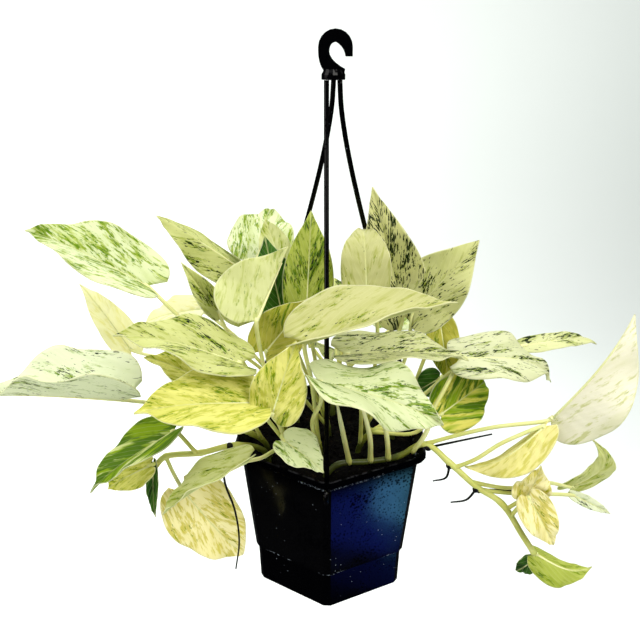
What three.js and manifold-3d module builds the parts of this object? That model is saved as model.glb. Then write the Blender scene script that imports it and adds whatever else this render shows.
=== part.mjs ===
// A marble queen pothos in a black hexagonal hanging pot. Millimetres, +Z up.
// The origin is the centre of the pot's flat base, and one corner of the pot points to -Y.

import * as THREE from 'three';
import { mergeVertices } from 'three/addons/utils/BufferGeometryUtils.js';
import Module from 'manifold-3d';

const wasm = await Module();
wasm.setup();

// Pot: radii reach to the corners of the hexagon
const RIM_ACROSS_FLATS = 130;
const RIM_RADIUS = RIM_ACROSS_FLATS / 2 / Math.cos(Math.PI / 6);
const POT_HEIGHT = 112;
const BASE_RADIUS = 58;
const FOOT_HEIGHT = 27.5;
const FOOT_TOP_RADIUS = 59;
const INNER_STEP_HEIGHT = FOOT_HEIGHT + 2;
const WALL_FOOT_RADIUS = 60.8;
const WALL_TOP_RADIUS = 69;
const LIP_HEIGHT = 9;
const LIP_BAND = 4;
const STEP_RISE = 1.2;
const WALL = 1.6;
const WALL_AT_CORNER = WALL / Math.cos(Math.PI / 6);
const CORNER_HALF_ANGLE = THREE.MathUtils.degToRad(2.5);
const DRAIN_RADIUS = 4;
const DRAIN_RING = 36;
const STRAND_HOLE_RADIUS = 2.6;
const STRAND_HOLE_INSIDE = [60, 106.6];
const STRAND_HOLE_OUTSIDE = [80, 105.2];

// Soil
const GAP = 0.3;
const HOLE_GAP = 0.4;
const SOIL_EDGE_HEIGHT = 98;
const SOIL_CROWN_HEIGHT = 101;
const SOIL_CROWN_RADIUS = 48;

// Hanger: the strands' points are insets from the rim's corner and heights
const HUB_UNDERSIDE = 348;
const HUB_RADIUS = 7.2;
const HUB_HEIGHT = 6;
const HOOK_THICK = 6.4;
const HOOK_BEND = 10.2;
const HUB_BEVEL = 1.6;
const STRAND_RADIUS = 1.6;
const STRAND_SIDES = 6;
const STRAND_RING = 4.6;
const STRAND_SWING = 45;
const STRAND_LEAN = 0.6;
const STRAND_LIP = [9, 115];
const STRAND_FOOT = [[8, 107.4], [2, 105.6], [-0.4, 102], [0.8, 98]];

// Plant
const BLADE_THICK = 0.8;
const WAVE = 0.055;
const WAVES = 2.2;
const BLADE_ROWS = 7;
const SMALL_BLADE_ROWS = 5;
const SMALL_BLADE_WIDTH = 28;
const BLADE_COLUMNS = 4;
const ROW_CROWDING = 1.15;
const STEM_RADIUS = 2.2;
const STALK_RADIUS = 1.4;
const SPROUT_RADIUS = 1.7;
const ROOT_RADIUS = 0.9;
const STEM_SIDES = 6;
const STALK_SIDES = 5;
const ROOT_SIDES = 4;

const vec = (x, y, z) => new THREE.Vector3(x, y, z);
const toVec = (point) => vec(...point);

const MATERIALS = {
  plastic: { color: 0x101113, roughness: 0.3, metalness: 0 },
  soil: { color: 0x1d1712, roughness: 0.95, metalness: 0 },
  leaf: { color: 0xd3dba2, roughness: 0.45, metalness: 0 },
};

function material(name) {
  return new THREE.MeshStandardMaterial(MATERIALS[name]);
}

// Closed solids

function solid(geometry) {
  const bare = new THREE.BufferGeometry();
  bare.setAttribute('position', geometry.attributes.position.clone());
  if (geometry.index) {
    bare.setIndex(geometry.index.clone());
  }
  const merged = mergeVertices(bare, 1e-4);
  const index = merged.index.array;
  const kept = [];
  for (let i = 0; i < index.length; i += 3) {
    const [a, b, c] = [index[i], index[i + 1], index[i + 2]];
    if (a !== b && b !== c && c !== a) {
      kept.push(a, b, c);
    }
  }
  return new wasm.Manifold(new wasm.Mesh({
    numProp: 3,
    vertProperties: new Float32Array(merged.attributes.position.array),
    triVerts: new Uint32Array(kept),
  }));
}

function fuse(pieces) {
  return pieces.reduce((whole, piece) => whole.add(piece));
}

function meshOf(name, body, materialName) {
  const { vertProperties, triVerts } = body.getMesh();
  const geometry = new THREE.BufferGeometry();
  geometry.setAttribute('position', new THREE.BufferAttribute(new Float32Array(vertProperties), 3));
  geometry.setIndex(new THREE.BufferAttribute(new Uint32Array(triVerts), 1));
  geometry.computeVertexNormals();
  const mesh = new THREE.Mesh(geometry, material(materialName));
  mesh.name = name;
  return mesh;
}

// A round bar of one radius along a curve
function bar(curve, radius, sides, steps) {
  const section = new THREE.Shape();
  for (let i = 0; i < sides; i += 1) {
    const angle = (2 * Math.PI * i) / sides;
    const [x, y] = [radius * Math.cos(angle), radius * Math.sin(angle)];
    if (i === 0) {
      section.moveTo(x, y);
    } else {
      section.lineTo(x, y);
    }
  }
  return solid(new THREE.ExtrudeGeometry(section, { extrudePath: curve, steps, bevelEnabled: false }));
}

function curveThrough(points) {
  return new THREE.CatmullRomCurve3(points, false, 'centripetal');
}

// A profile of radii and heights turned in twelve steps, then drawn out to a hexagon whose
// corners are cut by a narrow flat
function hexagonalTurning(profile) {
  const turned = new THREE.LatheGeometry(profile.map(([r, z]) => new THREE.Vector2(r, z)), 12);
  const place = turned.attributes.position;
  const inset = Math.cos(Math.PI / 6) / Math.cos(Math.PI / 6 - CORNER_HALF_ANGLE);
  const rings = profile.length;
  for (let i = 0; i < place.count; i += 1) {
    const step = Math.floor(i / rings);
    const corner = Math.floor((step + 1) / 2);
    const angle = (corner * Math.PI) / 3 + (step % 2 === 0 ? CORNER_HALF_ANGLE : -CORNER_HALF_ANGLE);
    const [r, z] = profile[i % rings];
    place.setXYZ(i, inset * r * Math.sin(angle), -inset * r * Math.cos(angle), z);
  }
  return solid(turned);
}

// Pot

const CORNER_ANGLES = { front: -90, back_right: 30, back_left: 150 };

function towards(angle, radius, z) {
  const a = THREE.MathUtils.degToRad(angle);
  return vec(radius * Math.cos(a), radius * Math.sin(a), z);
}

function potSolid() {
  const lipFoot = POT_HEIGHT - LIP_HEIGHT;
  const lipTurn = POT_HEIGHT - LIP_BAND;
  const lining = WALL / 2;
  const shell = hexagonalTurning([
    [0, 0],
    [BASE_RADIUS, 0],
    [FOOT_TOP_RADIUS, FOOT_HEIGHT],
    [WALL_FOOT_RADIUS, FOOT_HEIGHT + STEP_RISE],
    [WALL_TOP_RADIUS, lipFoot],
    [RIM_RADIUS, lipTurn],
    [RIM_RADIUS, POT_HEIGHT],
    [RIM_RADIUS - WALL_AT_CORNER, POT_HEIGHT],
    [RIM_RADIUS - WALL_AT_CORNER, lipTurn + lining],
    [WALL_TOP_RADIUS - WALL_AT_CORNER, lipFoot + lining],
    [innerRadius(INNER_STEP_HEIGHT), INNER_STEP_HEIGHT],
    [BASE_RADIUS - WALL_AT_CORNER, WALL],
    [0, WALL],
  ]);
  const drains = Array.from({ length: 6 }, (_, i) => {
    const centre = towards(60 * i, DRAIN_RING, -1);
    return bar(new THREE.LineCurve3(centre, centre.clone().setZ(WALL + 1)), DRAIN_RADIUS, 12, 1);
  });
  const strandHoles = Object.values(CORNER_ANGLES).map((angle) => bar(
    new THREE.LineCurve3(towards(angle, ...STRAND_HOLE_INSIDE), towards(angle, ...STRAND_HOLE_OUTSIDE)),
    STRAND_HOLE_RADIUS, 8, 1));
  return shell.subtract(fuse(drains)).subtract(fuse(strandHoles));
}

// Radius to the corners of the wall's inner face above the foot
function innerRadius(z) {
  const from = FOOT_HEIGHT + STEP_RISE;
  const share = (z - from) / (POT_HEIGHT - LIP_HEIGHT - from);
  return THREE.MathUtils.lerp(WALL_FOOT_RADIUS, WALL_TOP_RADIUS, share) - WALL_AT_CORNER;
}

// Soil: it fills the pot, with a plain hole for each stem

function soilSolid(holes) {
  const gap = GAP / Math.cos(Math.PI / 6);
  const bottom = WALL + GAP;
  const body = hexagonalTurning([
    [0, bottom],
    [BASE_RADIUS - WALL_AT_CORNER - gap, bottom],
    [innerRadius(INNER_STEP_HEIGHT) - gap, INNER_STEP_HEIGHT],
    [innerRadius(SOIL_EDGE_HEIGHT) - gap, SOIL_EDGE_HEIGHT],
    [SOIL_CROWN_RADIUS, SOIL_CROWN_HEIGHT - 1],
    [0, SOIL_CROWN_HEIGHT],
  ]);
  return holes.reduce((rest, hole) => rest.subtract(hole), body);
}

// Hanger: a hook on a hub, and three strands that run from the hub to corners of the rim

function hookSolid() {
  const outline = new THREE.Shape();
  outline.moveTo(-5, 0);
  outline.lineTo(-6, 5);
  outline.quadraticCurveTo(-9, 9, -9, 16);
  outline.absarc(1.2, 17.8, HOOK_BEND, Math.PI, 0, true);
  outline.lineTo(11.4, 12.6);
  outline.lineTo(7.2, 12.6);
  outline.quadraticCurveTo(6.4, 18, 1.6, 20.6);
  outline.quadraticCurveTo(-2.6, 20.4, -2.6, 15);
  outline.quadraticCurveTo(-2, 10, 7, 5.4);
  outline.lineTo(6, 0);
  outline.closePath();
  const plate = new THREE.ExtrudeGeometry(
    outline, { depth: HOOK_THICK, bevelEnabled: false, curveSegments: 5 });
  plate.translate(0, 0, -HOOK_THICK / 2);
  plate.rotateX(Math.PI / 2);
  plate.translate(0, 0, HUB_UNDERSIDE + 0.5);
  const hub = new THREE.LatheGeometry([
    new THREE.Vector2(0, 0),
    new THREE.Vector2(HUB_RADIUS, 0),
    new THREE.Vector2(HUB_RADIUS, HUB_HEIGHT - 2 * HUB_BEVEL),
    new THREE.Vector2(HUB_RADIUS - HUB_BEVEL, HUB_HEIGHT),
    new THREE.Vector2(0, HUB_HEIGHT),
  ], 16);
  hub.rotateX(Math.PI / 2);
  hub.translate(0, 0, HUB_UNDERSIDE);
  return solid(plate).add(solid(hub));
}

// A strand leaves the hub straight down, swings out to its corner, and hooks through the lip
function strandCurve(hubAngle, cornerAngle) {
  const start = towards(hubAngle, STRAND_RING, HUB_UNDERSIDE - GAP);
  const lip = towards(cornerAngle, RIM_RADIUS - STRAND_LIP[0], STRAND_LIP[1]);
  const hanging = new THREE.CubicBezierCurve3(
    start, start.clone().setZ(start.z - STRAND_SWING), start.clone().lerp(lip, STRAND_LEAN), lip);
  const points = hanging.getPoints(10);
  STRAND_FOOT.forEach(([inset, height]) => points.push(towards(cornerAngle, RIM_RADIUS - inset, height)));
  return curveThrough(points);
}

function strandSolid(hubAngle, cornerAngle) {
  return bar(strandCurve(hubAngle, cornerAngle), STRAND_RADIUS, STRAND_SIDES, 15);
}

// Leaf blades. u runs from the foot (0) to the tip (1) of the midrib, and v from the left
// margin (-1) to the right one (1). A row of one u follows a side vein.

function outlineWidth(u, taper) {
  const body = Math.sin(Math.PI * u ** 0.6) ** 0.75 * (1 - 0.72 * u ** 2.2) ** taper;
  const lobes = 0.28 * (1 - u) ** 8;
  const point = 0.012;
  return Math.max(body, 0) + lobes + point;
}

// How far a side vein runs ahead of its root on the midrib, and the lobes behind the foot
function veinSweep(u) {
  return 0.45 * u * (1 - u) - 0.12 * (1 - u) ** 5;
}

function bladeFrame(leaf) {
  const foot = toVec(leaf.foot);
  const along = toVec(leaf.tip).sub(foot);
  const length = along.length();
  along.normalize();
  const face = toVec(leaf.looks);
  face.addScaledVector(along, -face.dot(along)).normalize();
  const side = along.clone().cross(face);
  return { foot, along, face, side, length };
}

function bladePoint(leaf, u, v) {
  const { foot, along, face, side, length } = bladeFrame(leaf);
  const { width, fold = [20, 20], curl = -15, arch = 0.06, bend = 0, twist = 0 } = leaf;
  const { ripple = WAVE * width, phase = 0.1 * leaf.foot[0], taper = 1.2 } = leaf;
  const reach = Math.abs(v);
  const s = u + veinSweep(u) * reach ** 1.2;
  const out = (width / 2) * outlineWidth(u, taper) * reach;
  const slope = THREE.MathUtils.degToRad((v < 0 ? fold[0] : fold[1]) + (curl * out) / width);
  const roll = THREE.MathUtils.degToRad(twist * (s - 0.3));
  const wave = ripple * reach ** 2 * Math.sin(WAVES * 2 * Math.PI * u + phase + (v < 0 ? 0 : 2));
  const across = Math.sign(v) * out * Math.cos(slope);
  const rise = out * Math.sin(slope) + wave * Math.min(1, 6 * (1 - u));
  const bow = 4 * s * (1 - s) * (0.6 + 0.8 * s) * length;
  const point = foot.clone().addScaledVector(along, s * length);
  point.addScaledVector(side, across * Math.cos(roll) - rise * Math.sin(roll) + bend * bow);
  point.addScaledVector(face, across * Math.sin(roll) + rise * Math.cos(roll) + arch * bow);
  return point;
}

function bladeNormal(leaf, u, v) {
  const step = 0.02;
  const row = Math.min(Math.max(u, 0.03), 0.95);
  const alongRib = bladePoint(leaf, row + step, v).sub(bladePoint(leaf, row - step, v));
  const [left, right] = [Math.max(v - step, -1), Math.min(v + step, 1)];
  const acrossRib = bladePoint(leaf, row, right).sub(bladePoint(leaf, row, left));
  return acrossRib.cross(alongRib).normalize();
}

// A flat grid bent to the blade and given its thickness, both faces split alike
function bladeSolid(leaf) {
  const rows = leaf.width < SMALL_BLADE_WIDTH ? SMALL_BLADE_ROWS : BLADE_ROWS;
  const grid = new THREE.PlaneGeometry(2, 1, BLADE_COLUMNS, rows);
  const place = grid.attributes.position;
  const points = [];
  for (const side of [0.5, -0.5]) {
    for (let i = 0; i < place.count; i += 1) {
      const v = place.getX(i);
      const u = (place.getY(i) + 0.5) ** ROW_CROWDING;
      const point = bladePoint(leaf, u, v);
      points.push(point.addScaledVector(bladeNormal(leaf, u, v), side * BLADE_THICK));
    }
  }
  const faces = [];
  const top = Array.from(grid.index.array);
  for (let i = 0; i < top.length; i += 3) {
    faces.push(top[i], top[i + 1], top[i + 2]);
    faces.push(top[i] + place.count, top[i + 2] + place.count, top[i + 1] + place.count);
  }
  const edge = rimOf(BLADE_COLUMNS + 1, rows + 1);
  edge.forEach((a, i) => {
    const b = edge[(i + 1) % edge.length];
    faces.push(a, a + place.count, b);
    faces.push(b, a + place.count, b + place.count);
  });
  const geometry = new THREE.BufferGeometry().setFromPoints(points);
  geometry.setIndex(faces);
  return solid(geometry);
}

// The points round a grid's border, against the clock as its upper face is seen
function rimOf(columns, rows) {
  const rim = [];
  for (let r = 0; r < rows - 1; r += 1) {
    rim.push(r * columns);
  }
  for (let c = 0; c < columns - 1; c += 1) {
    rim.push((rows - 1) * columns + c);
  }
  for (let r = rows - 1; r > 0; r -= 1) {
    rim.push(r * columns + columns - 1);
  }
  for (let c = columns - 1; c > 0; c -= 1) {
    rim.push(c);
  }
  return rim;
}

// A leaf's stalk: from its joint on the stem to a little way under the blade's midrib
function stalkSolid(leaf, stem) {
  const start = stem.getPoint(leaf.from);
  const points = [start, ...(leaf.via ?? []).map(toVec), toVec(leaf.foot), bladePoint(leaf, 0.03, 0)];
  return bar(curveThrough(points), STALK_RADIUS, STALK_SIDES, 2 * points.length - 2);
}

function vineSolid(vine) {
  const stem = curveThrough(vine.stem.map(toVec));
  const pieces = [bar(stem, STEM_RADIUS, STEM_SIDES, 2 * vine.stem.length)];
  for (const leaf of vine.leaves) {
    pieces.push(bladeSolid(leaf));
    pieces.push(stalkSolid(leaf, stem));
  }
  for (const sprout of vine.sprouts ?? []) {
    pieces.push(bar(curveThrough(sprout.map(toVec)), SPROUT_RADIUS, STALK_SIDES, 4));
  }
  for (const root of vine.roots ?? []) {
    pieces.push(bar(curveThrough(root.map(toVec)), ROOT_RADIUS, ROOT_SIDES, root.length + 1));
  }
  return outerBody(fuse(pieces));
}

// The outer surface of fused pieces alone, without closed hollows or slivers between them
function outerBody(body) {
  return body.decompose().reduce((most, other) => (other.volume() > most.volume() ? other : most));
}

// The hole of a stem follows the stem's own curve, a gap wider and deeper
function stemHole(vine) {
  const points = vine.stem.map(toVec);
  points[0].z -= GAP;
  const stem = curveThrough(points);
  return bar(stem, STEM_RADIUS + HOLE_GAP, STEM_SIDES, 2 * vine.stem.length);
}

// Vines. A stem runs from its buried end to its growing end, and `from` is the place of a
// leaf's joint along it. `via` points guide its stalk. `looks` is the way that a blade's upper
// face is turned, and `fold` raises its left and right halves by degrees. `arch`, `bend` and
// `twist` bow the midrib up, bow it sideways and turn the blade along it. `ripple` and `phase`
// set the waves of the margins, and a larger `taper` makes a more slender tip.

const VINES = {
  vine_left_high: {
    stem: [[-30, -6, 72], [-31, -7, 104], [-35, -8, 126]],
    leaves: [
      // high leaf that reaches out to the left
      { foot: [-121, -12, 219], tip: [-201, -6, 254], width: 54, looks: [1, -6, 8], fold: [44, 22],
        from: 0.95, via: [[-76, -9, 174], [-102, -11, 198]] },
      // narrow speckled leaf behind it, one half rolled down
      { foot: [-67, 46, 213], tip: [-121, 23, 258], width: 40, looks: [-1, -8, 6], fold: [8, -55],
        from: 0.8, via: [[-52, 24, 172]] },
      // small folded leaf between the two
      { foot: [-77, -4, 199], tip: [-98, -10, 235], width: 20, looks: [3, -9, 3], fold: [45, 45],
        from: 0.7, via: [[-64, -4, 168]] },
    ],
  },
  vine_left: {
    stem: [[-42, -24, 72], [-44, -25, 110], [-60, -32, 126]],
    leaves: [
      // outermost left leaf, folded along its midrib
      { foot: [-131, -49, 154], tip: [-213, -67, 164], width: 68, looks: [0, -1, 6], fold: [64, 62],
        arch: 0.02,
        from: 0.95, via: [[-92, -36, 142], [-110, -42, 148]] },
      // broad leaf over the left of the pot
      { foot: [-52, -66, 190], tip: [-121, -84, 214], width: 46, looks: [-1, -3, 9], fold: [20, 22],
        from: 0.6, via: [[-56, -44, 155]] },
      // small yellow leaf under it
      { foot: [-77, -44, 165], tip: [-115, -52, 186], width: 30, looks: [0, -4, 9], fold: [20, 20],
        from: 0.8, via: [[-68, -38, 146]] },
    ],
  },
  vine_left_front: {
    stem: [[-26, -32, 72], [-27, -34, 108], [-30, -44, 130]],
    leaves: [
      // broad yellow leaf in front
      { foot: [-42, -82, 172], tip: [-107, -104, 175], width: 50, looks: [0, -5, 8], fold: [25, 15],
        from: 0.75, via: [[-37, -60, 148]] },
      // upright yellow leaf beside it
      { foot: [-31, -86, 167], tip: [-17, -82, 212], width: 34, looks: [0, -8, 4], fold: [15, 15],
        from: 0.9, via: [[-30, -64, 148]] },
      // leaf that shows its underside, its left half folded back
      { foot: [-44, -50, 211], tip: [-27, -19, 249], width: 66, looks: [-1, 7, -2], fold: [150, 12],
        curl: 0,
        from: 0.95, via: [[-42, -40, 178]] },
      // leaf that hangs over the rim
      { foot: [-51, -63, 120], tip: [-103, -82, 91], width: 36, looks: [-3, -4, 8], fold: [55, 10],
        from: 0.55, via: [[-34, -52, 122], [-42, -60, 121]] },
    ],
  },
  vine_left_trailing: {
    stem: [[-42, -30, 72], [-44, -32, 108], [-62, -39, 117], [-84, -50, 117], [-107, -51, 114],
      [-116, -49, 104]],
    leaves: [
      // green leaf on the trailing stem
      { foot: [-97, -62, 140], tip: [-150, -77, 102], width: 38, looks: [-3, -5, 7], fold: [42, 12],
        from: 0.62 },
      // small yellow leaf under it
      { foot: [-117, -55, 109], tip: [-146, -58, 92], width: 24, looks: [0, -5, 7], fold: [15, 15],
        from: 0.9 },
      // narrow leaf at the stem's end
      { foot: [-116, -51, 108], tip: [-116, -57, 70], width: 10, looks: [0, -8, 1], fold: [40, 40],
        from: 0.97 },
      // round hanging leaf
      { foot: [-98, -48, 86], tip: [-58, -55, 40], width: 50, looks: [0, -9, 3], fold: [12, 12],
        taper: 0.4,
        from: 0.8, via: [[-104, -48, 100]] },
    ],
    roots: [
      [[-66, -42, 118], [-68, -54, 112], [-66, -63, 103], [-60, -66, 85], [-58, -66, 60], [-61, -67, 38]],
    ],
  },
  vine_back_left: {
    stem: [[-26, 24, 72], [-27, 25, 104], [-32, 30, 124]],
    leaves: [
      // marbled leaf at the back
      { foot: [-56, 47, 222], tip: [-52, 92, 248], width: 50, looks: [0, -7, 6], fold: [15, 15],
        from: 0.9, via: [[-50, 42, 186]] },
      // small pale leaf in front of it
      { foot: [-36, 16, 228], tip: [-48, 34, 254], width: 22, looks: [0, -8, 5], fold: [15, 15],
        from: 0.6, via: [[-36, 20, 180]] },
      // far leaf in the light, upright
      { foot: [-159, 53, 144], tip: [-194, 55, 197], width: 27, looks: [4, -7, 5], fold: [20, 20],
        from: 0.95, via: [[-80, 44, 150], [-128, 52, 138]] },
      // far leaf in the light, level
      { foot: [-110, 82, 168], tip: [-156, 84, 154], width: 32, looks: [0, -5, 8], fold: [15, 15],
        from: 0.8, via: [[-75, 60, 152]] },
    ],
  },
  vine_centre: {
    stem: [[-2, 4, 72], [-2, 4, 104], [-5, 2, 124]],
    leaves: [
      // tall speckled leaf beside the front strand
      { foot: [-16, -16, 206], tip: [-14, 4, 267], width: 34, looks: [1, -9, 3], fold: [15, 15],
        from: 0.8 },
      // dark leaf behind it
      { foot: [-33, -4, 197], tip: [-45, 6, 249], width: 34, looks: [1, -9, 3], fold: [15, 15],
        from: 0.7 },
      // olive leaf in the middle
      { foot: [-41, -32, 183], tip: [-12, -33, 220], width: 36, looks: [0, -9, 4], fold: [15, 15],
        from: 0.6 },
    ],
  },
  vine_front: {
    stem: [[-6, -28, 72], [-6, -30, 104], [-7, -38, 120]],
    leaves: [
      // large cream leaf over the middle, its near half hanging
      { foot: [-13, -66, 204], tip: [76, -51, 226], width: 60, looks: [0, -4, 9], fold: [24, 54],
        arch: 0.03, ripple: 1.5, taper: 2,
        from: 0.9, via: [[-10, -54, 172]] },
      // white leaf that comes forward over the rim
      { foot: [-4, -80, 186], tip: [68, -88, 164], width: 54, looks: [0, -3, 9], fold: [6, 30],
        twist: -80, ripple: 7, phase: 1.25,
        from: 0.95, via: [[-9, -66, 152], [-3, -76, 172]] },
      // small white leaf on the rim
      { foot: [-26, -72, 141], tip: [-1, -84, 127], width: 28, looks: [1, -4, 8], fold: [25, 25],
        from: 0.6, via: [[-28, -62, 139]] },
    ],
  },
  vine_front_right: {
    stem: [[20, -16, 72], [20, -17, 104], [29, -21, 121]],
    leaves: [
      // speckled leaf between the cream and the white one
      { foot: [11, -43, 187], tip: [89, -30, 179], width: 46, looks: [0, -4, 9], fold: [0, 42],
        from: 0.6, via: [[20, -32, 154]] },
      // long right leaf with a waved edge and a slender tip
      { foot: [88, -11, 172], tip: [154, 10, 146], width: 48, looks: [0, -4, 9], fold: [8, 14],
        arch: 0.16, ripple: 3.5, phase: -3.1, taper: 1.8,
        from: 0.95, via: [[59, -33, 128], [72, -28, 150]] },
      // narrow leaf that reaches out behind it
      { foot: [136, 22, 168], tip: [192, 40, 163], width: 15, looks: [0, -5, 8], fold: [10, 10],
        arch: 0.1, from: 0.9, via: [[60, -10, 140], [100, 12, 164]] },
      // round leaf over the right of the rim
      { foot: [75, -20, 134], tip: [109, 16, 142], width: 38, looks: [-1, -9, 4], fold: [12, 12],
        taper: 0.6,
        from: 0.97 },
    ],
  },
  vine_right_trailing: {
    stem: [[-4, -44, 80], [-2, -45, 98], [6, -42, 106], [26, -37, 106], [46, -33, 108], [64, -34, 119],
      [80, -42, 110], [98, -46, 95], [115, -48, 84], [131, -50, 60], [140, -50, 46]],
    leaves: [
      // large ivory leaf at the far right, folded back
      { foot: [142, -40, 143], tip: [180, -50, 220], width: 62, looks: [-2, -9, 3], fold: [-150, 5],
        bend: 0.03, curl: 0,
        from: 0.5, via: [[84, -37, 128], [107, -39, 136]] },
      // yellow leaf that hangs below it
      { foot: [138, -44, 141], tip: [90, -41, 107], width: 34, looks: [0, -6, 7], fold: [10, -60],
        bend: -0.12,
        from: 0.62, via: [[96, -46, 116], [112, -45, 128]] },
      // small pale leaf, curved
      { foot: [174, -4, 69], tip: [181, -5, 111], width: 20, looks: [0, -9, 1], fold: [10, 10],
        bend: 0.35,
        from: 0.68, via: [[120, -42, 92], [150, -22, 84]] },
      // narrow leaf beside it
      { foot: [174, -10, 66], tip: [203, -8, 50], width: 9, looks: [0, -7, 5], fold: [20, 20],
        from: 0.72, via: [[122, -42, 88], [150, -24, 76]] },
      // young leaf at a joint, turned up
      { foot: [131, -49, 91], tip: [136, -54, 117], width: 26, looks: [0, -8, 2], fold: [20, 20],
        from: 0.82 },
      // young leaf at the same joint, hanging
      { foot: [130, -56, 95], tip: [149, -60, 61], width: 24, looks: [1, -8, 1], fold: [20, 20],
        from: 0.84 },
      // leaf at the stem's end
      { foot: [141, -50, 46], tip: [179, -52, 38], width: 30, looks: [0, -8, 3], fold: [-75, 10],
        bend: 0.12,
        from: 0.97 },
      // small dark leaf beside it
      { foot: [141, -50, 41], tip: [131, -43, 25], width: 14, looks: [0, -8, 3], fold: [15, 15],
        from: 0.99 },
    ],
    roots: [
      [[80, -42, 108], [78, -44, 100], [70, -41, 95]],
      [[98, -46, 93], [92, -48, 86], [82, -46, 82]],
      [[66, -35, 117], [84, -38, 124], [106, -41, 132]],
      [[100, -45, 92], [118, -42, 90], [138, -36, 84]],
    ],
    sprouts: [
      [[14, -40, 106], [10, -46, 130], [5, -52, 160]],
      [[28, -37, 106], [27, -42, 128], [20, -50, 160]],
      [[40, -35, 107], [38, -39, 128], [31, -46, 160]],
      [[56, -33, 112], [63, -38, 128], [68, -44, 150]],
    ],
  },
  vine_back_right: {
    stem: [[24, 2, 72], [24, 2, 104], [28, 2, 124]],
    leaves: [
      // tallest leaf, at the back
      { foot: [49, 14, 192], tip: [25, -3, 284], width: 44, looks: [1, -9, -1], fold: [12, 20],
        from: 0.95 },
      // cream leaf bent over at its top
      { foot: [23, -26, 217], tip: [19, 8, 254], width: 32, looks: [0, -5, 6], fold: [12, 12],
        arch: 0.38,
        from: 0.8, via: [[31, 0, 188]] },
      // broad speckled leaf to the right
      { foot: [55, 5, 198], tip: [95, 4, 249], width: 46, looks: [1, -8, 4], fold: [8, 34],
        from: 0.7, via: [[50, -2, 165]] },
    ],
  },
  vine_right: {
    stem: [[44, 4, 72], [45, 5, 106], [56, 7, 126]],
    leaves: [
      // olive leaf that hangs on the right
      { foot: [75, 20, 186], tip: [83, 12, 142], width: 24, looks: [0, -8, 3], fold: [20, 20],
        from: 0.8 },
      // small dark leaf under it
      { foot: [76, 9, 147], tip: [59, 8, 136], width: 22, looks: [0, -8, 4], fold: [20, 20],
        from: 0.9 },
      // side leaf towards the back
      { foot: [92, 56, 134], tip: [144, 80, 122], width: 44, looks: [0, -2, 9], fold: [20, 20],
        from: 0.98 },
    ],
  },
  vine_back: {
    stem: [[0, 36, 72], [0, 38, 110], [4, 58, 134]],
    leaves: [
      // highest leaf of the back
      { foot: [12, 84, 176], tip: [20, 160, 160], width: 56, looks: [0, 3, 9], fold: [20, 20],
        from: 0.95 },
      // left leaf of the back
      { foot: [-38, 86, 160], tip: [-72, 146, 136], width: 52, looks: [-3, 3, 9], fold: [20, 20],
        from: 0.8 },
      // right leaf of the back
      { foot: [44, 80, 155], tip: [84, 134, 135], width: 52, looks: [3, 3, 9], fold: [20, 20],
        from: 0.8 },
      // low leaf of the back
      { foot: [0, 82, 135], tip: [-6, 134, 100], width: 46, looks: [0, 6, 6], fold: [20, 20],
        from: 0.99 },
    ],
  },
};

const STRANDS = {
  strand_front: [210, CORNER_ANGLES.front],
  strand_back_right: [-30, CORNER_ANGLES.back_right],
  strand_back_left: [90, CORNER_ANGLES.back_left],
};

const plant = new THREE.Group();
plant.add(meshOf('pot', potSolid(), 'plastic'));
plant.add(meshOf('soil', soilSolid(Object.values(VINES).map(stemHole)), 'soil'));
plant.add(meshOf('hook', hookSolid(), 'plastic'));
for (const [name, angles] of Object.entries(STRANDS)) {
  plant.add(meshOf(name, strandSolid(...angles), 'plastic'));
}
for (const [name, vine] of Object.entries(VINES)) {
  plant.add(meshOf(name, vineSolid(vine), 'leaf'));
}

export default plant;
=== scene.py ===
"""A marble queen pothos in a black hexagonal hanging pot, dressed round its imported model.

The row frame is in metres: +Z up, the pot's underside at Z 0, one corner of the pot to -Y.
Sizes and places here are in millimetres, as in the part's source, unless a comment says metres.
"""
import math
import random
import bmesh
import bpy
from mathutils import Matrix, Vector, noise


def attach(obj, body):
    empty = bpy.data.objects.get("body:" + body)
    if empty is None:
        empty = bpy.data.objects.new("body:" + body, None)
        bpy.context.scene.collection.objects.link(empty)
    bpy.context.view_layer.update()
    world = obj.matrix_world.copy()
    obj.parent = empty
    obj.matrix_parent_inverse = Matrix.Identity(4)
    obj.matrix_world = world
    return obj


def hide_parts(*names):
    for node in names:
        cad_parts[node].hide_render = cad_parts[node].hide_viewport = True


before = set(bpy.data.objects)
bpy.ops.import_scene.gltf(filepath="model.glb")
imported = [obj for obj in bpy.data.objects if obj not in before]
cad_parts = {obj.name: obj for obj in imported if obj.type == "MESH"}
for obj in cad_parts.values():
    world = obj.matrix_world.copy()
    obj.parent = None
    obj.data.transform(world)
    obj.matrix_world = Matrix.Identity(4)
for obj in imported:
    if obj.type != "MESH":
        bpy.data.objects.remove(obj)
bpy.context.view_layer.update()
MM = 0.001

# Pot, as in the part's source. A hexagon's radius reaches to its corners
RIM_RADIUS = 65 / math.cos(math.pi / 6)
FOOT_HEIGHT = 27.5
POT_EDGE_SOFTNESS = 0.9
HOOK_EDGE_SOFTNESS = 0.8
# Heights of the pale lines painted as highlights along the foot step and under the lip
EDGE_HIGHLIGHT_HEIGHTS = (28.6, 103.0, 104.4)

# Soil: the radius and height of its wall's rings, then its crown and the crumbs strewn on it
SOIL_EDGE_HEIGHT = 98
SOIL_RADIUS = 66.2
SOIL_WALL = ((55.6, 2), (58.6, FOOT_HEIGHT + 2), (SOIL_RADIUS - 0.4, SOIL_EDGE_HEIGHT - 2))
SOIL_CROWN = 3
SOIL_RINGS = 22
SOIL_SIDES = 120
CRUMBS = 420

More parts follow.
